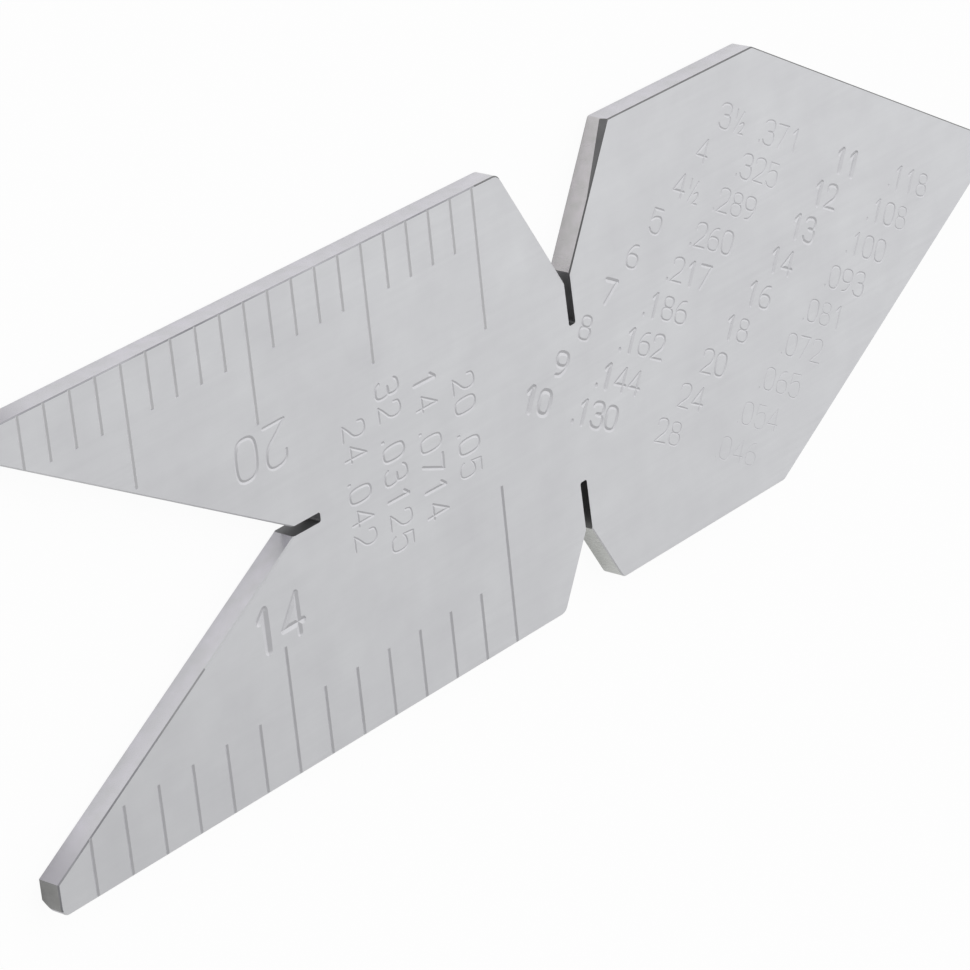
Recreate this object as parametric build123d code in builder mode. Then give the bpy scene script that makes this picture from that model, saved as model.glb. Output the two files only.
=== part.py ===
from build123d import *

import os
from math import radians, sin, tan

# A 60 degree centre gauge: one flat steel plate with a fish-tail notch at one end, a point at the
# other, a large and a small tool notch in its edges, and inch graduations along its tail half.
#
# Millimetres and degrees. +X runs from the tail to the point, +Y to the edge with the large notch,
# and +Z up. The plate lies on its back at Z = 0, with the middle of its length at X = 0.

INCH = 25.4

# Plate. Every flank on the gauge, of a notch or of the point, leans by half the thread angle.
plate_length = 59.2
plate_width = 19.05
plate_thickness = 1.02
thread_angle = 60.0
edge_break = 0.05

# Notches: how deep the flanks would meet, and how far the tool notches lie from the point
tail_notch_depth = 14.16
large_notch_depth = 5.76
large_notch_from_point = 28.92
small_notch_depth = 3.18
small_notch_from_point = 28.93

# Relief slots, sawn with one cutter: how far each reaches past the place where the flanks meet,
# and how many degrees the two in the edges lean towards the tail as they run up the plate
slot_width = 0.4
slot_lean = 2.3
slot_corner_radius = 0.1
tail_slot_reach = 1.17
large_slot_reach = 1.68
large_slot_offset = 0.08
small_slot_reach = 1.84

# Corners of the outline, rounded by hand more or less
tail_corner_radius = 0.4
large_notch_tail_side_radius = 0.5
large_notch_point_side_radius = 0.12
small_notch_radius = 0.4
shoulder_radius = 0.3
tip_radius = 0.2

# Graduations: each mark is a V groove cut inwards from the edge
mark_width = 0.16
mark_depth = 0.04

# Marks on the face: twentieths of an inch on the +Y edge, fourteenths on the other
twentieth_short = 2.24
twentieth_quarter = 4.8
twentieth_inch = 5.77
fourteenth_short = 2.88
fourteenth_half = 5.3
fourteenth_inch = 6.73

# Marks on the back: twenty-fourths of an inch on the +Y edge, thirty-seconds on the other
twentyfourth_short = 2.24
twentyfourth_quarter = 4.8
twentyfourth_inch = 5.77
thirtysecond_short = 2.0
thirtysecond_quarter = 4.6
thirtysecond_inch = 5.6

# Places that follow from the sizes above
flank_slope = tan(radians(thread_angle / 2))
edge_y = plate_width / 2
tail_x = -plate_length / 2
point_x = plate_length / 2
sharp_tip_x = point_x + tip_radius / sin(radians(thread_angle / 2)) - tip_radius
shoulder_x = sharp_tip_x - edge_y / flank_slope
tail_apex = (tail_x + tail_notch_depth, 0)
large_apex = (point_x - large_notch_from_point, edge_y - large_notch_depth)
small_apex = (point_x - small_notch_from_point, small_notch_depth - edge_y)
large_slot_start = (large_apex[0] + large_slot_offset, large_apex[1])

# The way that each notch opens, turned from +X
TAIL_TURN = (0, 0, 180)
LARGE_TURN = (0, 0, 90)
SMALL_TURN = (0, 0, -90)
LARGE_SLOT_TURN = (0, 0, 90 + slot_lean)
SMALL_SLOT_TURN = (0, 0, -90 + slot_lean)

# How far a cutter starts outside the plate
CLEAR = 1.0


def notch_profile(depth):
    """A V that opens along +X from its apex at the origin, out past the given depth."""
    mouth_x = depth + CLEAR
    mouth_y = mouth_x * flank_slope
    with BuildSketch() as profile:
        with BuildLine():
            Polyline((0, 0), (mouth_x, mouth_y), (mouth_x, -mouth_y), close=True)
        make_face()
    return profile.sketch


def slot_profile(reach):
    """A slot back along -X from the apex of a V at the origin, started well inside the V."""
    start = slot_width / flank_slope
    with BuildSketch() as profile:
        with Locations(((start - reach) / 2, 0)):
            Rectangle(start + reach, slot_width)
        fillet(profile.vertices().group_by(Axis.X)[0], slot_corner_radius)
    return profile.sketch


def scale_grooves(edge_side, face_side, divisions, major_every, short, major, inch):
    """The V grooves of a one inch scale that starts at the tail end.

    edge_side is 1 for the +Y edge and -1 for the other. face_side is 1 for the face and -1 for
    the back. Every mark is short, but for each major_every-th one and the last, at one inch.
    """
    pitch = INCH / divisions
    majors = range(major_every, divisions, major_every)
    shorts = [mark for mark in range(1, divisions) if mark not in majors]
    outside = Plane(
        origin=(tail_x, edge_side * (edge_y + CLEAR), plate_thickness if face_side > 0 else 0),
        x_dir=(1, 0, 0),
        z_dir=(0, -edge_side, 0),
    )
    rise = edge_side * face_side * mark_depth
    with BuildPart() as grooves:
        for marks, length in ((shorts, short), (majors, major), ([divisions], inch)):
            with BuildSketch(outside):
                with Locations(*[(mark * pitch, 0) for mark in marks]):
                    Polygon((-mark_width, rise), (mark_width, rise), (0, -rise), align=None)
            extrude(amount=CLEAR + length)
    return grooves.part


twentieths = scale_grooves(1, 1, 20, 5, twentieth_short, twentieth_quarter, twentieth_inch)
fourteenths = scale_grooves(-1, 1, 14, 7, fourteenth_short, fourteenth_half, fourteenth_inch)
twentyfourths = scale_grooves(
    1, -1, 24, 6, twentyfourth_short, twentyfourth_quarter, twentyfourth_inch
)
thirtyseconds = scale_grooves(
    -1, -1, 32, 8, thirtysecond_short, thirtysecond_quarter, thirtysecond_inch
)

with BuildPart() as gauge_plate:
    # The blank: a bar with a point, less the fish-tail and the two tool notches
    with BuildSketch() as outline:
        with BuildLine():
            Polyline(
                (tail_x, -edge_y),
                (shoulder_x, -edge_y),
                (sharp_tip_x, 0),
                (shoulder_x, edge_y),
                (tail_x, edge_y),
                close=True,
            )
        make_face()
        with Locations(Location(tail_apex, TAIL_TURN)):
            add(notch_profile(tail_notch_depth), mode=Mode.SUBTRACT)
        with Locations(Location(large_apex, LARGE_TURN)):
            add(notch_profile(large_notch_depth), mode=Mode.SUBTRACT)
        with Locations(Location(small_apex, SMALL_TURN)):
            add(notch_profile(small_notch_depth), mode=Mode.SUBTRACT)

        # Corners along each edge, from the tail: tail, two at the notch, shoulder
        upper_radii = (
            tail_corner_radius,
            large_notch_tail_side_radius,
            large_notch_point_side_radius,
            shoulder_radius,
        )
        lower_radii = (tail_corner_radius, small_notch_radius, small_notch_radius, shoulder_radius)
        for corner, radius in enumerate(upper_radii):
            fillet(outline.vertices().group_by(Axis.Y)[-1].sort_by(Axis.X)[corner], radius)
        for corner, radius in enumerate(lower_radii):
            fillet(outline.vertices().group_by(Axis.Y)[0].sort_by(Axis.X)[corner], radius)
        fillet(outline.vertices().sort_by(Axis.X)[-1], tip_radius)
    extrude(amount=plate_thickness)

    # Both faces have their sharp edges broken before the slots are sawn
    chamfer(gauge_plate.faces().filter_by(Axis.Z).edges(), edge_break)

    with BuildSketch():
        with Locations(Location(tail_apex, TAIL_TURN)):
            add(slot_profile(tail_slot_reach))
        with Locations(Location(large_slot_start, LARGE_SLOT_TURN)):
            add(slot_profile(large_slot_reach))
        with Locations(Location(small_apex, SMALL_SLOT_TURN)):
            add(slot_profile(small_slot_reach))
    extrude(amount=plate_thickness, mode=Mode.SUBTRACT)

    # Graduations, last of all
    add([twentieths, fourteenths, twentyfourths, thirtyseconds], mode=Mode.SUBTRACT)

gauge_plate.part.label = "gauge_plate"

os.makedirs("parts", exist_ok=True)
export_step(gauge_plate.part, "parts/gauge_plate.step")
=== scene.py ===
import random
from math import cos, pi, radians, sin

import bmesh
import bpy
from mathutils import Matrix, Vector


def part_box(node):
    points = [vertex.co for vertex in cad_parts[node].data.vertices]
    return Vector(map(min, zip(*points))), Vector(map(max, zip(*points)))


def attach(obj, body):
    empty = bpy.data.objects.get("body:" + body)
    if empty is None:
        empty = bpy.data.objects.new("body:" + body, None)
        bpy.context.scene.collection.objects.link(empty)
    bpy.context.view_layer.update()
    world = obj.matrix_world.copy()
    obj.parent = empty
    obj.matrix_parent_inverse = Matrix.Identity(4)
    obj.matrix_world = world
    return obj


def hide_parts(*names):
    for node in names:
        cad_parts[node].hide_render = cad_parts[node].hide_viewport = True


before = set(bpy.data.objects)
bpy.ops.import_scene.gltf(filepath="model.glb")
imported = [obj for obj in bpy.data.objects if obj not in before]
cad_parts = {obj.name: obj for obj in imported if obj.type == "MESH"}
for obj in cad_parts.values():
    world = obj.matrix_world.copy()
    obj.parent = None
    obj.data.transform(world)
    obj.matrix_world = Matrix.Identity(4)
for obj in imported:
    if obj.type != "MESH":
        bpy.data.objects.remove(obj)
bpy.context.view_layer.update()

# A centre gauge lying on its back: a satin ground steel plate with stamped numbers. The plate's
# outline, notches and graduations come with the frame. Here the numbers are sunk into it, a few
# edges are filed away, and each surface gets the finish that its tool left, with painted shade
# and painted light on some walls, slots and edges.

plate_low, plate_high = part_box("gauge_plate")

MM = 0.001
INCH = 25.4 * MM
TAIL_X = plate_low.x
FACE_Z = plate_high.z
BACK_Z = plate_low.z

# Camera: its place in metres, the way that it looks, and the way that is up in the picture
CAMERA_AT = Vector((-0.12796098, 0.07078438, 0.11355636))
CAMERA_LOOKS_ALONG = Vector((0.67506782, -0.40209889, -0.61854662))
CAMERA_UP = Vector((0.36506489, 0.91063916, -0.19355604))
SENSOR_WIDTH_MM = 36.0
LENS_MM = 175.628
CLIP_START = 0.01

# The room is bright round one direction, in degrees round from +X and up from the floor, and dim
# elsewhere. It fades while the cosine of the angle to that direction is between the two values.
BRIGHT_SIDE = (28, 28)
BRIGHT_STRENGTH = 1.16
DIM_STRENGTH = 0.55
FADE_COSINES = (0.47, 0.65)

# The one lamp: its direction in degrees, its distance and side in metres, and how bright it looks
SOFTBOX = {"azimuth": 50, "elevation": 35, "distance": 0.9, "side": 0.4, "radiance": 0.5}

# The paper under the plate: half its side, and the gap that keeps it clear of the back
PAPER_HALF_SIDE = 1.5
PAPER_GAP = 0.01 * MM

# How far the paper is plain white to the camera, and how far in the mirror of the steel
WHITE_TO_CAMERA = 0.94
WHITE_IN_MIRROR = 0.3

# Sizes of the numbers in inches, as on the tool: the height and width of a digit between the
# middles of its strokes, the step from digit to digit, and the width of a stroke
HEAVY_SCALE_NUMBER = {"height": 0.065, "width": 0.043, "step": 0.059, "stroke": 0.0115}
LIGHT_SCALE_NUMBER = {"height": 0.065, "width": 0.043, "step": 0.0625, "stroke": 0.0075}
LIST_NUMBER = {"height": 0.0455, "width": 0.024, "step": 0.036, "stroke": 0.0058}
TABLE_NUMBER = {"height": 0.037, "width": 0.027, "step": 0.0365, "stroke": 0.0045}

# The share of a step that each narrow character takes
STEP_SHARE = {".": 0.25, " ": 0.6}

# How much wider a blunt punch strikes than the others, and how much finer a fresh one
PUNCH_SHARE = {"1": 1.35, "2": 0.85, "5": 0.8, "6": 0.8, "7": 1.15, "8": 0.75}

# No two blows are alike: how far they lean in degrees, how wide they strike, and the seeds that
# decide it on the face and on the back
BLOW_LEANS = (-1.5, 1.5)
BLOW_WIDTHS = (0.9, 1.08)
FACE_SEED = 5
BACK_SEED = 6

# An open stroke runs on past its ends and thins out: how far past, in half widths, and its share
# of the half width there
STROKE_END = ((0.5, 0.85), (0.9, 0.3))

# A punched stroke is a V, this much shallower than a right-angled one
STROKE_FLATNESS = 0.28

# Points nearer than this are made one, in the strokes and in the plate
STROKE_WELD = 0.00001 * MM
PLATE_WELD = 0.0001 * MM

# Finishes of the plate, in the order of its material slots
GROUND, RIM, NOTCHED_AND_SHADED, SMALL_NOTCHED_AND_SHADED, STONED_AND_SHADED, SAWN_AND_SHADED, FILED_AND_SHADED, COARSE_AND_SHADED, ENGRAVED, WORN_AND_LIT = range(10)

# How level each kind of surface lies at least, as the upright part of its normal: the two sides
# of the plate, the walls of the marks, and the edges that had their sharpness taken off
SIDE_LEVEL = 0.98
MARK_LEVEL = 0.8
EDGE_LEVEL = 0.6

# A wall of the rim faces squarely along X or Y if that part of its normal is more than this
SQUARE_ON = 0.9

# The sharp edges that face this way by more than a little were stoned down, and are painted
# darker: painted shade for the dark that they mirror. The rest wear bright, which is painted light.
SHADED_EDGE_SIDE = Vector((-0.6, 1, 0))
SHADED_EDGE_FROM = 0.05

# But on the fish-tail's flank, which faces the tail end by this much, they were stoned well only
# up to the first X, and lightly up to the second, which paints dark and then grey shade there. The
# long edge was stoned hardest, from the third on, past the inch mark, and is painted darkest.
FLANK_FACES_TAIL = 0.2
FLANK_DARK_TO_MM = -23.9
FLANK_GREY_TO_MM = -21.1
EDGE_DARKEST_FROM_MM = -4.0

# How far from the tail end the rim turns darker
DARKER_TAIL_LENGTH = 2.6 * MM

# Where the two notches in the edges are milled: lowest and highest X
TOOL_NOTCHES_MM = (-2.8, 4.1)

# Where the three slots are sawn: lowest and highest X, then lowest and highest Y
SLOT_AREAS_MM = (
    (-15.95, -14.0, -0.3, 0.3),
    (0.4, 1.2, 1.9, 4.2),
    (0.3, 1.0, -6.8, -4.3),
)

# The small notch's slot, below this Y, was sawn coarser and is painted darker inside: painted
# shade in the slot
SHADED_SLOT_BELOW_MM = -4

# The edge of the large notch's flank on the point's side was filed away towards the outside: from
# where to where, X and Y, and how far over the face and down the flank in the end
FILED_FROM_MM = (2.181, 6.365)
FILED_TO_MM = (4.179, 9.825)
FILED_ON_FACE_MM = 0.05
FILED_ON_FLANK_MM = 0.42

# The tail's outer corners were filed off on the back side: how far in, the way that the cut on
# the +Y side faces, and the side of the block that makes the cut
TAIL_CORNER_FILED_MM = 0.34
TAIL_CORNER_FACES = Vector((-0.62, 0.62, -0.48)).normalized()
TAIL_CORNER_BLOCK_MM = 1.0

# An edge that turns by less than this, in degrees, is part of a round corner
ROUND_CORNER_TURN = 20

# How deep the tool lines are in every finish
TOOL_LINE_DEPTH = 0.002 * MM

# The sockets of a Mix node that mixes colours: the two colours that go in, and the result
FIRST_COLOUR = 6
SECOND_COLOUR = 7
MIXED_COLOUR = 2

HALF = "\u00bd"

# Each character's strokes, as the corners of the line that the punch follows: whether the stroke
# closes on itself, and its points, with x from -1 to 1 over the width and y from 0 to 1 over the
# height. Strokes that touch are in different places of their lists, and are punched one by one.
STROKES = {
    "0": [
        (True, [(-0.6, 0), (0.6, 0), (1, 0.22), (1, 0.78), (0.6, 1), (-0.6, 1), (-1, 0.78), (-1, 0.22)]),
    ],
    "1": [
        (False, [(0.15, 0), (0.15, 1)]),
        (False, [(-0.45, 0.8), (0.15, 1)]),
    ],
    "2": [
        (False, [(-0.95, 0.74), (-0.85, 1.02), (0.95, 1.06), (1.05, 0.55), (-0.2, 0.25), (-1, 0)]),
        (False, [(-1, 0), (1, 0)]),
    ],
    "3": [
        (False, [(-0.95, 0.88), (-0.6, 1.03), (0.95, 1.06), (0.95, 0.5), (-0.2, 0.54)]),
        (False, [(-0.2, 0.54), (1.05, 0.58), (1.1, -0.06), (-0.6, -0.05), (-1, 0.14)]),
    ],
    "4": [
        (False, [(0.55, 0), (0.55, 1)]),
        (False, [(0.55, 1), (-1, 0.28)]),
        (False, [(-1, 0.28), (1, 0.28)]),
    ],
    "5": [
        (False, [(-0.9, 0.52), (-0.3, 0.66), (1.05, 0.7), (1.05, -0.05), (-0.5, -0.06), (-1, 0.14)]),
        (False, [(-0.9, 0.52), (-0.75, 1)]),
        (False, [(-0.75, 1), (0.85, 1)]),
    ],
    "6": [
        (True, [
            (-0.6, 0), (0.6, 0), (1, 0.15), (1, 0.43), (0.6, 0.58), (-0.6, 0.58), (-1, 0.43), (-1, 0.15),
        ]),
        (False, [(0.6, 0.98), (-0.2, 0.95), (-1, 0.6), (-1, 0.3)]),
    ],
    "7": [
        (False, [(1, 1), (-0.35, 0)]),
        (False, [(-1, 1), (1, 1)]),
    ],
    "8": [
        (True, [
            (-0.6, 0), (0.6, 0), (1, 0.14), (1, 0.4), (0.6, 0.54), (-0.6, 0.54), (-1, 0.4), (-1, 0.14),
        ]),
        (True, [
            (-0.5, 0.54), (0.5, 0.54), (0.85, 0.66), (0.85, 0.88),
            (0.5, 1), (-0.5, 1), (-0.85, 0.88), (-0.85, 0.66),
        ]),
    ],
    "9": [
        (True, [
            (-0.6, 0.42), (0.6, 0.42), (1, 0.57), (1, 0.85), (0.6, 1), (-0.6, 1), (-1, 0.85), (-1, 0.57),
        ]),
        (False, [(-0.6, 0.02), (0.2, 0.05), (1, 0.4), (1, 0.7)]),
    ],
    ".": [
        (False, [(0, 0), (0, 0.06)]),
    ],
    HALF: [
        (False, [(-0.75, 0.58), (-0.75, 1)]),
        (False, [(-0.7, 0.05), (0.55, 0.95)]),
        (False, [(0.2, 0.4), (0.95, 0.54), (0.95, 0.22), (0.2, 0)]),
        (False, [(0.2, 0), (1, 0)]),
    ],
}

# So one punch takes the first stroke of every character, the next one the second, and so on
PUNCHES = max(len(strokes) for strokes in STROKES.values())


def from_tail(x_inches, y_inches):
    """A place on the plate, given in inches from the tail end and from the middle of the width."""
    return Vector((TAIL_X + x_inches * INCH, y_inches * INCH))


# Each line of numbers: its text, its middle, the way that it reads in degrees, and its size
FACE_LINES = [
    ("14", from_tail(0.492, -0.126), 0, HEAVY_SCALE_NUMBER),
    ("20", from_tail(0.4995, 0.1435), 180, LIGHT_SCALE_NUMBER),
    ("20 .05", from_tail(0.9375, 0.015), -90, LIST_NUMBER),
    ("14 .0714", from_tail(0.854, 0.015), -90, LIST_NUMBER),
    ("32 .03125", from_tail(0.772, 0.015), -90, LIST_NUMBER),
    ("24 .042", from_tail(0.6917, 0.015), -90, LIST_NUMBER),
]

# The back is turned over about the plate's length, so its +Y is the plate's -Y
BACK_LINES = [
    ("24", from_tail(0.5, -0.13), 0, HEAVY_SCALE_NUMBER),
    ("32", from_tail(0.5, 0.13), 180, LIGHT_SCALE_NUMBER),
]

# The table: threads per inch, twice the depth of the thread in inches, and both once more
TABLE_ROWS = (
    ("10", ".130", "28", ".046"),
    ("9", ".144", "24", ".054"),
    ("8", ".162", "20", ".065"),
    ("7", ".186", "18", ".072"),
    ("6", ".217", "16", ".081"),
    ("5", ".260", "14", ".093"),
    ("4", ".289", "13", ".100"),
    ("4", ".325", "12", ".108"),
    ("3", ".371", "11", ".118"),
)
TABLE_TURN = -29.0

# Where each column's first and last number stand, and how wide their strokes are: the first two
# columns were struck ever more lightly, and the others ever harder
TABLE_COLUMNS = (
    (from_tail(1.1005, -0.0085), from_tail(1.61, 0.2845), 0.0095, 0.0045),
    (from_tail(1.2325, -0.0825), from_tail(1.7445, 0.2055), 0.0075, 0.004),
    (from_tail(1.404, -0.179), from_tail(1.913, 0.1035), 0.0045, 0.009),
    (from_tail(1.5705, -0.2765), from_tail(2.078, 0.0145), 0.002, 0.005),
)

# The halves that follow two of the numbers in the first column
HALVES_AT = (from_tail(1.515, 0.19), from_tail(1.6435, 0.2635))


def table_lines():
    """The numbers of the table, row by row, and the halves last."""
    lines = []
    for row, texts in enumerate(TABLE_ROWS):
        share = row / (len(TABLE_ROWS) - 1)
        for text, (first, last, first_stroke, last_stroke) in zip(texts, TABLE_COLUMNS):
            stroke = first_stroke + (last_stroke - first_stroke) * share
            size = {**TABLE_NUMBER, "stroke": stroke}
            lines.append((text, first.lerp(last, share), TABLE_TURN, size))
    return lines + [(HALF, place, TABLE_TURN, TABLE_NUMBER) for place in HALVES_AT]


def characters_along(text, middle, turn, size):
    """Each character of a line of text with its place. turn is the way that the line reads."""
    steps = [STEP_SHARE.get(character, 1.0) * size["step"] * INCH for character in text]
    along = Vector((cos(turn), sin(turn)))
    place = -sum(steps) / 2
    placed = []
    for character, step in zip(text, steps):
        if character != " ":
            placed.append((character, middle + along * (place + step / 2)))
        place += step
    return placed


def punched_strokes(text, middle, turn_degrees, size, dice):
    """A line of text as strokes in the plane: order, closed or not, points and half width."""
    turn = radians(turn_degrees)
    strokes = []
    for character, place in characters_along(text, middle, turn, size):
        lean = turn + radians(dice.uniform(*BLOW_LEANS))
        punch_share = PUNCH_SHARE.get(character, 1.0)
        half_width = size["stroke"] * INCH / 2 * punch_share * dice.uniform(*BLOW_WIDTHS)
        across = Vector((cos(lean), sin(lean))) * size["width"] * INCH / 2
        upwards = Vector((-sin(lean), cos(lean))) * size["height"] * INCH
        for order, (closed, corners) in enumerate(STROKES[character]):
            points = [place + across * x + upwards * (y - 0.5) for x, y in corners]
            strokes.append((order, closed, points, half_width))
    return strokes


def all_strokes(lines, seed):
    """The strokes of several lines of text, each struck a little differently."""
    dice = random.Random(seed)
    strokes = []
    for text, middle, turn, size in lines:
        strokes += punched_strokes(text, middle, turn, size, dice)
    return strokes


def with_round_ends(points, half_width):
    """Points with their share of the half width. Both ends run on a little and thin out."""
    start = (points[0] - points[1]).normalized() * half_width
    end = (points[-1] - points[-2]).normalized() * half_width
    before = [(points[0] + start * reach, share) for reach, share in reversed(STROKE_END)]
    after = [(points[-1] + end * reach, share) for reach, share in STROKE_END]
    return before + [(point, 1.0) for point in points] + after


def curve_of_strokes(name, strokes):
    """The strokes as one curve of diamond section, which is a V below the plane it lies in."""
    curve = bpy.data.curves.new(name, "CURVE")
    curve.dimensions = "3D"
    curve.twist_mode = "Z_UP"
    curve.bevel_depth = 1.0
    curve.bevel_resolution = 0
    curve.use_fill_caps = True
    for closed, points, half_width in strokes:
        shared = [(point, 1.0) for point in points] if closed else with_round_ends(points, half_width)
        spline = curve.splines.new("NURBS")
        spline.points.add(len(shared) - 1)
        for spline_point, (point, share) in zip(spline.points, shared):
            spline_point.co = (point.x, point.y, 0, 1)
            spline_point.radius = half_width * share
        spline.order_u = 3
        spline.use_cyclic_u = closed
        spline.use_endpoint_u = not closed
        spline.resolution_u = 4
    return curve


def as_object(name, data):
    """A new object that holds the data, in the scene."""
    thing = bpy.data.objects.new(name, data)
    bpy.context.scene.collection.objects.link(thing)
    return thing


def object_from(name, shape):
    """A new object from a bmesh, which is freed."""
    mesh = bpy.data.meshes.new(name)
    shape.to_mesh(mesh)
    shape.free()
    return as_object(name, mesh)


def cutter_from(name, shape, finish):
    """A new object from a bmesh, to cut the plate with. What it cuts gets the finish."""
    for face in shape.faces:
        face.material_index = finish
    return object_from(name, shape)


def finished_mesh(thing):
    """The mesh of an object with its modifiers applied. The object is removed."""
    bpy.context.view_layer.update()
    graph = bpy.context.evaluated_depsgraph_get()
    mesh = bpy.data.meshes.new_from_object(thing.evaluated_get(graph))
    bpy.data.objects.remove(thing)
    return mesh


def punch(name, strokes_by_plane, order):
    """The strokes of one order on both planes, as one closed cutter."""
    joined = bmesh.new()
    for plane, strokes in strokes_by_plane:
        chosen = [stroke[1:] for stroke in strokes if stroke[0] == order]
        if chosen:
            mesh = finished_mesh(as_object(name, curve_of_strokes(name, chosen)))
            mesh.transform(plane @ Matrix.Diagonal((1, 1, STROKE_FLATNESS, 1)))
            joined.from_mesh(mesh)
            bpy.data.meshes.remove(mesh)
    bmesh.ops.remove_doubles(joined, verts=joined.verts, dist=STROKE_WELD)
    bmesh.ops.recalc_face_normals(joined, faces=joined.faces)
    return cutter_from(name, joined, ENGRAVED)


def filed_wedge():
    """The sliver that a file took off one edge, from nothing to its full size."""
    foot = Vector((*FILED_FROM_MM, FACE_Z / MM))
    head = Vector((*FILED_TO_MM, FACE_Z / MM))
    along = (head - foot).normalized()
    up = Vector((0, 0, 1))
    inwards = along.cross(up)
    face_side = inwards * FILED_ON_FACE_MM
    flank_side = -up * FILED_ON_FLANK_MM
    slant = face_side - flank_side
    wedge = bmesh.new()
    wedge.verts.new(foot * MM)
    for offset in (face_side + slant, flank_side - slant, (up - inwards) * FILED_ON_FLANK_MM):
        wedge.verts.new((head + offset) * MM)
    bmesh.ops.convex_hull(wedge, input=wedge.verts)
    bmesh.ops.recalc_face_normals(wedge, faces=wedge.faces)
    return cutter_from("filed_wedge", wedge, COARSE_AND_SHADED)


def filed_corner(side):
    """What a file took off the tail's outer corner on one side, 1 for +Y: a flat cut at a slant."""
    faces = Vector((TAIL_CORNER_FACES.x, TAIL_CORNER_FACES.y * side, TAIL_CORNER_FACES.z))
    corner = Vector((plate_low.x, plate_high.y if side > 0 else plate_low.y, BACK_Z))
    half_side = TAIL_CORNER_BLOCK_MM * MM / 2
    middle = corner + faces * (half_side - TAIL_CORNER_FILED_MM * MM)
    turned = Matrix.Translation(middle) @ faces.to_track_quat("Z", "Y").to_matrix().to_4x4()
    block = bmesh.new()
    bmesh.ops.create_cube(block, size=2 * half_side, matrix=turned)
    return cutter_from("filed_corner", block, FILED_AND_SHADED)


def in_a_slot(place):
    """Whether a place on the plate's rim lies in one of the sawn slots."""
    return any(
        low_x < place.x / MM < high_x and low_y < place.y / MM < high_y
        for low_x, high_x, low_y, high_y in SLOT_AREAS_MM
    )


def finish_of_edge(normal, x_mm):
    """Which finish an edge has where its sharpness was taken off, with the painted shade or painted light
    of its side.
    """
    if normal.dot(SHADED_EDGE_SIDE) < SHADED_EDGE_FROM:
        return WORN_AND_LIT
    if x_mm > EDGE_DARKEST_FROM_MM:
        return COARSE_AND_SHADED
    if normal.x < -FLANK_FACES_TAIL and x_mm > FLANK_DARK_TO_MM:
        return SAWN_AND_SHADED if x_mm < FLANK_GREY_TO_MM else GROUND
    return STONED_AND_SHADED


def finish_of_rim(normal, place):
    """Which finish the rim has at a place, also inside the notches and slots."""
    # Inside the slots, the darker sawn finishes paint in the slots' shade
    if in_a_slot(place):
        return COARSE_AND_SHADED if place.y / MM < SHADED_SLOT_BELOW_MM else SAWN_AND_SHADED
    # Walls that face -X, away from the bright side of the room, get the dark filed finish, which paints
    # in their shade
    if normal.x < -SQUARE_ON:
        return FILED_AND_SHADED
    # The notch walls get finishes greyer than the rim, partly painted shade
    notches_from, notches_to = TOOL_NOTCHES_MM
    if notches_from < place.x / MM < notches_to and abs(normal.y) < SQUARE_ON:
        return NOTCHED_AND_SHADED if place.y > 0 else SMALL_NOTCHED_AND_SHADED
    return RIM


def finish_of(face):
    """Which finish a face of the plate has, from the way it faces and where it is."""
    normal = face.normal
    middle = face.calc_center_median()
    levelness = abs(normal.z)
    if levelness > SIDE_LEVEL:
        return GROUND
    if levelness > MARK_LEVEL:
        # The finer scale of each side, at +Y on the face and -Y on the back, is handled most, and gets
        # a brighter finish that paints light into its grooves
        return WORN_AND_LIT if normal.z * middle.y > 0 else ENGRAVED
    if levelness > EDGE_LEVEL:
        return finish_of_edge(normal, middle.x / MM)
    return finish_of_rim(normal, middle)


def finished_copy(finishes):
    """A merged copy of the plate, with each face in its own finish."""
    merged = bmesh.new()
    merged.from_mesh(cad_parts["gauge_plate"].data)
    bmesh.ops.remove_doubles(merged, verts=merged.verts, dist=PLATE_WELD)
    for x_mm in (FLANK_DARK_TO_MM, FLANK_GREY_TO_MM, EDGE_DARKEST_FROM_MM):
        everything = merged.verts[:] + merged.edges[:] + merged.faces[:]
        bmesh.ops.bisect_plane(merged, geom=everything, plane_co=(x_mm * MM, 0, 0), plane_no=(1, 0, 0))
    for face in merged.faces:
        face.material_index = finish_of(face)
    plate = object_from("stamped_plate", merged)
    for finish in finishes:
        plate.data.materials.append(finish)
    return plate


def cutters():
    """All that is punched into the plate or filed off it."""
    face_plane = Matrix.Translation((0, 0, FACE_Z))
    back_plane = Matrix.Translation((0, 0, BACK_Z)) @ Matrix.Rotation(pi, 4, "X")
    strokes_by_plane = (
        (face_plane, all_strokes(FACE_LINES + table_lines(), FACE_SEED)),
        (back_plane, all_strokes(BACK_LINES, BACK_SEED)),
    )
    punches = [punch(f"punch_{order}", strokes_by_plane, order) for order in range(PUNCHES)]
    return punches + [filed_wedge(), filed_corner(1), filed_corner(-1)]


def stamped_plate(finishes):
    """The plate with the numbers sunk into both sides and its worn edges filed away."""
    plate = finished_copy(finishes)
    tools = cutters()
    for tool in tools:
        cut = plate.modifiers.new(tool.name, "BOOLEAN")
        cut.operation = "DIFFERENCE"
        cut.solver = "MANIFOLD"
        cut.material_mode = "INDEX"
        cut.object = tool
    mesh = finished_mesh(plate)
    for tool in tools:
        bpy.data.objects.remove(tool)
    mesh.name = "stamped_plate"
    return as_object("stamped_plate", mesh)


def shade_round_only(thing):
    """Smooth over the round corners, crisp at sharper edges and where one finish meets another."""
    shaded = bmesh.new()
    shaded.from_mesh(thing.data)
    for face in shaded.faces:
        face.smooth = True
    for edge in shaded.edges:
        one_finish = len({face.material_index for face in edge.link_faces}) == 1
        edge.smooth = one_finish and edge.calc_face_angle(0) < radians(ROUND_CORNER_TURN)
    shaded.to_mesh(thing.data)
    shaded.free()


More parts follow.
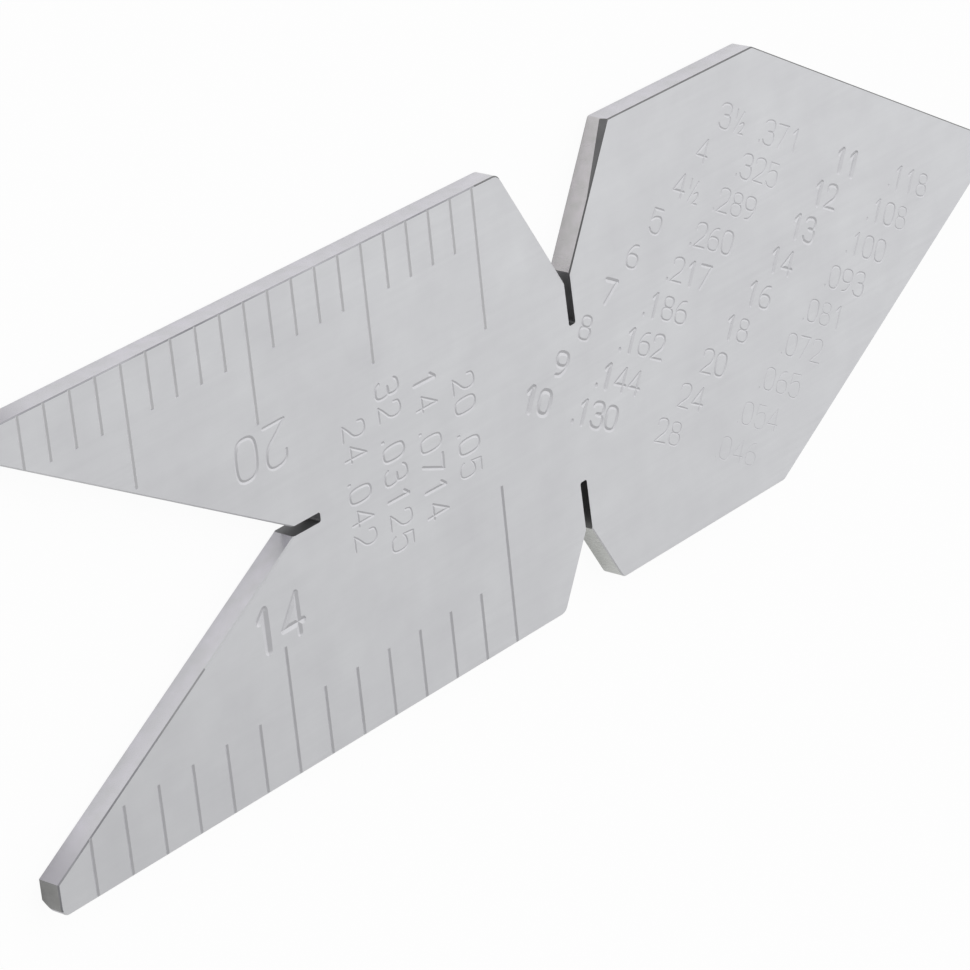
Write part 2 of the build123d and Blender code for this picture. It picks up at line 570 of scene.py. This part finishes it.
def linear(hex_colour):
    """An sRGB hex colour as linear RGBA."""
    channels = [int(hex_colour[start:start + 2], 16) / 255 for start in (1, 3, 5)]
    return tuple(
        part / 12.92 if part <= 0.04045 else ((part + 0.055) / 1.055) ** 2.4 for part in channels
    ) + (1.0,)


def add_node(tree, kind, inputs=(), **settings):
    """Adds a node. inputs pairs each socket with its value, or with the output that feeds it."""
    node = tree.nodes.new(kind)
    for name, value in settings.items():
        setattr(node, name, value)
    for socket, value in inputs:
        if isinstance(value, bpy.types.NodeSocket):
            tree.links.new(value, node.inputs[socket])
        else:
            node.inputs[socket].default_value = value
    return node


def new_material(name):
    """An empty material and its node tree."""
    material = bpy.data.materials.new(name)
    material.use_nodes = True
    material.node_tree.nodes.clear()
    return material, material.node_tree


def clouded_colour(tree, place, pale, dark, cloud_gap):
    """Two near colours in soft clouds."""
    clouds = add_node(tree, "ShaderNodeTexNoise", (
        ("Vector", place),
        ("Scale", 1 / cloud_gap),
        ("Detail", 4.0),
    ))
    mixed = add_node(tree, "ShaderNodeMix", (
        ("Factor", clouds.outputs["Fac"]),
        (FIRST_COLOUR, linear(dark)),
        (SECOND_COLOUR, linear(pale)),
    ), data_type="RGBA")
    return mixed.outputs[MIXED_COLOUR]


def darker_towards_tail(tree, place, colour, dull):
    """A colour that turns into a darker one towards the tail end."""
    along = add_node(tree, "ShaderNodeSeparateXYZ", (("Vector", place),))
    nearness = add_node(tree, "ShaderNodeMapRange", (
        ("Value", along.outputs["X"]),
        ("From Min", TAIL_X),
        ("From Max", TAIL_X + DARKER_TAIL_LENGTH),
        ("To Min", 1.0),
        ("To Max", 0.0),
    ), interpolation_type="SMOOTHSTEP")
    mixed = add_node(tree, "ShaderNodeMix", (
        ("Factor", nearness.outputs["Result"]),
        (FIRST_COLOUR, colour),
        (SECOND_COLOUR, linear(dull)),
    ), data_type="RGBA")
    return mixed.outputs[MIXED_COLOUR]


def steel(name, pale, dark, smooth, rough, line_run, cloud_gap, dull=None):
    """Bare steel: two near colours in soft clouds, under fine tool lines that vary its polish.

    line_run is how far a line runs along X, Y and Z, and cloud_gap is how far the clouds lie
    apart, both in metres. dull is the colour it takes on towards the tail end, if it does.
    """
    material, tree = new_material(name)
    place = add_node(tree, "ShaderNodeTexCoord").outputs["Object"]
    stretched = add_node(tree, "ShaderNodeMapping", (
        ("Vector", place),
        ("Scale", [1 / run for run in line_run]),
    ))
    lines = add_node(tree, "ShaderNodeTexNoise", (
        ("Vector", stretched.outputs["Vector"]),
        ("Scale", 1.0),
        ("Detail", 3.0),
    ))
    colour = clouded_colour(tree, place, pale, dark, cloud_gap)
    if dull:
        colour = darker_towards_tail(tree, place, colour, dull)
    roughness = add_node(tree, "ShaderNodeMapRange", (
        ("Value", lines.outputs["Fac"]),
        ("To Min", smooth),
        ("To Max", rough),
    ))
    relief = add_node(tree, "ShaderNodeBump", (
        ("Strength", 0.5),
        ("Distance", TOOL_LINE_DEPTH),
        ("Height", lines.outputs["Fac"]),
    ))
    metal = add_node(tree, "ShaderNodeBsdfPrincipled", (
        ("Base Color", colour),
        ("Metallic", 1.0),
        ("Roughness", roughness.outputs["Result"]),
        ("Normal", relief.outputs["Normal"]),
    ))
    add_node(tree, "ShaderNodeOutputMaterial", (("Surface", metal.outputs["BSDF"]),))
    return material


def plate_finishes():
    """The finishes of the plate, in the order of its material slots."""
    # Ground flat and left satin: an even pale grey, faintly clouded by handling. Its grit lines
    # run along the plate, really 0.02 mm apart, drawn six times as coarse.
    ground = steel(
        "ground_satin_steel", "#d1d2d4", "#c3c3c6", 0.34, 0.46, (5 * MM, 0.12 * MM, 0.12 * MM), 2.2 * MM
    )
    # Finely ground rim: smooth enough to mirror what it stands on, in lilac and warm grey patches,
    # and duller and darker towards the tail's ends
    rim = steel(
        "fine_ground_steel", "#e8e5ee", "#d0d1d1", 0.14, 0.24, (0.1 * MM, 0.1 * MM, 2 * MM), 0.8 * MM,
        dull="#bcbac0",
    )
    # Milled notches: greyer than the rim, partly painted shade on the notch walls, with the
    # cutter's lines across the thickness
    notched_and_shaded = steel(
        "milled_steel", "#e2dce2", "#bfc1bd", 0.18, 0.32, (0.14 * MM, 0.14 * MM, 2 * MM), 0.5 * MM
    )
    # The small notch, milled with a duller cutter: a flat warm grey, darker as painted shade on its
    # walls
    small_notched_and_shaded = steel(
        "dull_milled_steel_painted_shade", "#d1d2cf", "#bec0bc", 0.2, 0.34, (0.14 * MM, 0.14 * MM, 2 * MM), 0.5 * MM
    )
    # Edges broken with a stone, which leaves a thin darker line, heavier in some places; the dark
    # line is painted shade for the dark surroundings that these edges mirror
    stoned_and_shaded = steel(
        "stoned_steel_edge_painted_shade", "#bcbcc0", "#58585c", 0.3, 0.45, (0.5 * MM, 0.5 * MM, 0.05 * MM), 3 * MM
    )
    # Sawn slots, rough and dull, and darker than the rim: painted shade inside the slots. A lightly
    # stoned edge looks the same.
    sawn_and_shaded = steel(
        "sawn_dull_steel_painted_shade", "#acacae", "#949496", 0.4, 0.55, (0.1 * MM, 0.1 * MM, 1 * MM), 0.5 * MM
    )
    # Tail ends and their corners, filed and left dull and dark; the dark is painted shade on these
    # walls, which face away from the bright side of the room
    filed_and_shaded = steel(
        "filed_dull_steel_painted_shade", "#a6a6a6", "#90908e", 0.4, 0.55, (0.1 * MM, 0.1 * MM, 1 * MM), 0.6 * MM
    )
    # Darker still: the edge that was filed away, the long edge where it was stoned hardest, and
    # the slot that was sawn coarser. On the long edge and in that slot the darkness is painted shade.
    coarse_and_shaded = steel(
        "coarse_filed_steel_painted_shade", "#848484", "#6a6a6c", 0.35, 0.5, (0.1 * MM, 0.1 * MM, 1 * MM), 0.6 * MM
    )
    # Engraved marks and punched numbers, as bright as the face but less even
    engraved = steel(
        "engraved_steel", "#d4d4d7", "#c6c6c9", 0.35, 0.5, (0.3 * MM, 0.3 * MM, 0.3 * MM), 1 * MM
    )
    # The finer marks and the edges that were never stoned, rubbed brighter by handling, in a
    # brighter copy of the engraved steel: painted light in those marks and on those edges
    worn_and_lit = steel(
        "worn_engraved_steel_painted_light", "#e2e2e4", "#d4d4d6", 0.35, 0.5, (0.3 * MM, 0.3 * MM, 0.3 * MM), 1 * MM
    )
    return ground, rim, notched_and_shaded, small_notched_and_shaded, stoned_and_shaded, sawn_and_shaded, filed_and_shaded, coarse_and_shaded, engraved, worn_and_lit


def white_paper():
    """Plain white paper, which the camera sees as white with the plate's shadow just showing."""
    material, tree = new_material("white_paper")
    paper = add_node(tree, "ShaderNodeBsdfDiffuse", (("Color", linear("#fbfbfb")),))
    glow = add_node(tree, "ShaderNodeEmission", (("Color", linear("#ffffff")), ("Strength", 1.0)))
    rays = add_node(tree, "ShaderNodeLightPath")
    mirrored = add_node(tree, "ShaderNodeMath", (
        (0, rays.outputs["Is Glossy Ray"]),
        (1, WHITE_IN_MIRROR),
    ), operation="MULTIPLY")
    share = add_node(tree, "ShaderNodeMath", (
        (0, rays.outputs["Is Camera Ray"]),
        (1, WHITE_TO_CAMERA),
        (2, mirrored.outputs["Value"]),
    ), operation="MULTIPLY_ADD")
    both = add_node(tree, "ShaderNodeMixShader", (
        ("Fac", share.outputs["Value"]),
        (1, paper.outputs["BSDF"]),
        (2, glow.outputs["Emission"]),
    ))
    add_node(tree, "ShaderNodeOutputMaterial", (("Surface", both.outputs["Shader"]),))
    return material


def lay_paper():
    """The sheet of paper under the plate, as wide as the studio floor."""
    sheet = bmesh.new()
    under_plate = Matrix.Translation((0, 0, BACK_Z - PAPER_GAP))
    bmesh.ops.create_grid(sheet, x_segments=1, y_segments=1, size=PAPER_HALF_SIDE, matrix=under_plate)
    floor = object_from("floor", sheet)
    floor.data.materials.append(white_paper())
    return floor


def aim_camera():
    """The camera of the photograph, and the one that the scene is seen through."""
    data = bpy.data.cameras.new("camera")
    data.sensor_width = SENSOR_WIDTH_MM
    data.lens = LENS_MM
    data.clip_start = CLIP_START
    camera = as_object("camera", data)
    back = -CAMERA_LOOKS_ALONG.normalized()
    right = CAMERA_UP.cross(back).normalized()
    turned = Matrix((right, back.cross(right), back)).transposed().to_4x4()
    camera.matrix_world = Matrix.Translation(CAMERA_AT) @ turned
    bpy.context.scene.camera = camera


def direction_of(azimuth, elevation):
    """The direction at that many degrees round from +X and up from the floor."""
    level = cos(radians(elevation))
    return Vector((cos(radians(azimuth)) * level, sin(radians(azimuth)) * level, sin(radians(elevation))))


def soft_lamp(name, azimuth, elevation, distance, side, radiance):
    """A square softbox that faces the plate."""
    data = bpy.data.lights.new(name, "AREA")
    data.shape = "SQUARE"
    data.size = side
    data.energy = radiance * pi * side * side
    lamp = as_object(name, data)
    towards = direction_of(azimuth, elevation)
    turned = towards.to_track_quat("Z", "Y").to_matrix().to_4x4()
    lamp.matrix_world = Matrix.Translation(towards * distance) @ turned


def light_room():
    """Soft light from all round, which fades from the bright side of the room to the dim one."""
    world = bpy.data.worlds.new("studio")
    world.use_nodes = True
    tree = world.node_tree
    tree.nodes.clear()
    direction = add_node(tree, "ShaderNodeTexCoord").outputs["Generated"]
    facing = add_node(tree, "ShaderNodeVectorMath", (
        (0, direction),
        (1, direction_of(*BRIGHT_SIDE)),
    ), operation="DOT_PRODUCT")
    fade_from, fade_to = FADE_COSINES
    strength = add_node(tree, "ShaderNodeMapRange", (
        ("Value", facing.outputs["Value"]),
        ("From Min", fade_from),
        ("From Max", fade_to),
        ("To Min", DIM_STRENGTH),
        ("To Max", BRIGHT_STRENGTH),
    ), interpolation_type="SMOOTHSTEP")
    sky = add_node(tree, "ShaderNodeBackground", (
        ("Color", linear("#ffffff")),
        ("Strength", strength.outputs["Result"]),
    ))
    add_node(tree, "ShaderNodeOutputWorld", (("Surface", sky.outputs["Background"]),))
    bpy.context.scene.world = world


aim_camera()
light_room()
soft_lamp("key_softbox", **SOFTBOX)
bpy.context.scene.view_settings.view_transform = "Standard"

plate = stamped_plate(plate_finishes())
shade_round_only(plate)
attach(plate, "root")
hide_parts("gauge_plate")

floor = lay_paper()
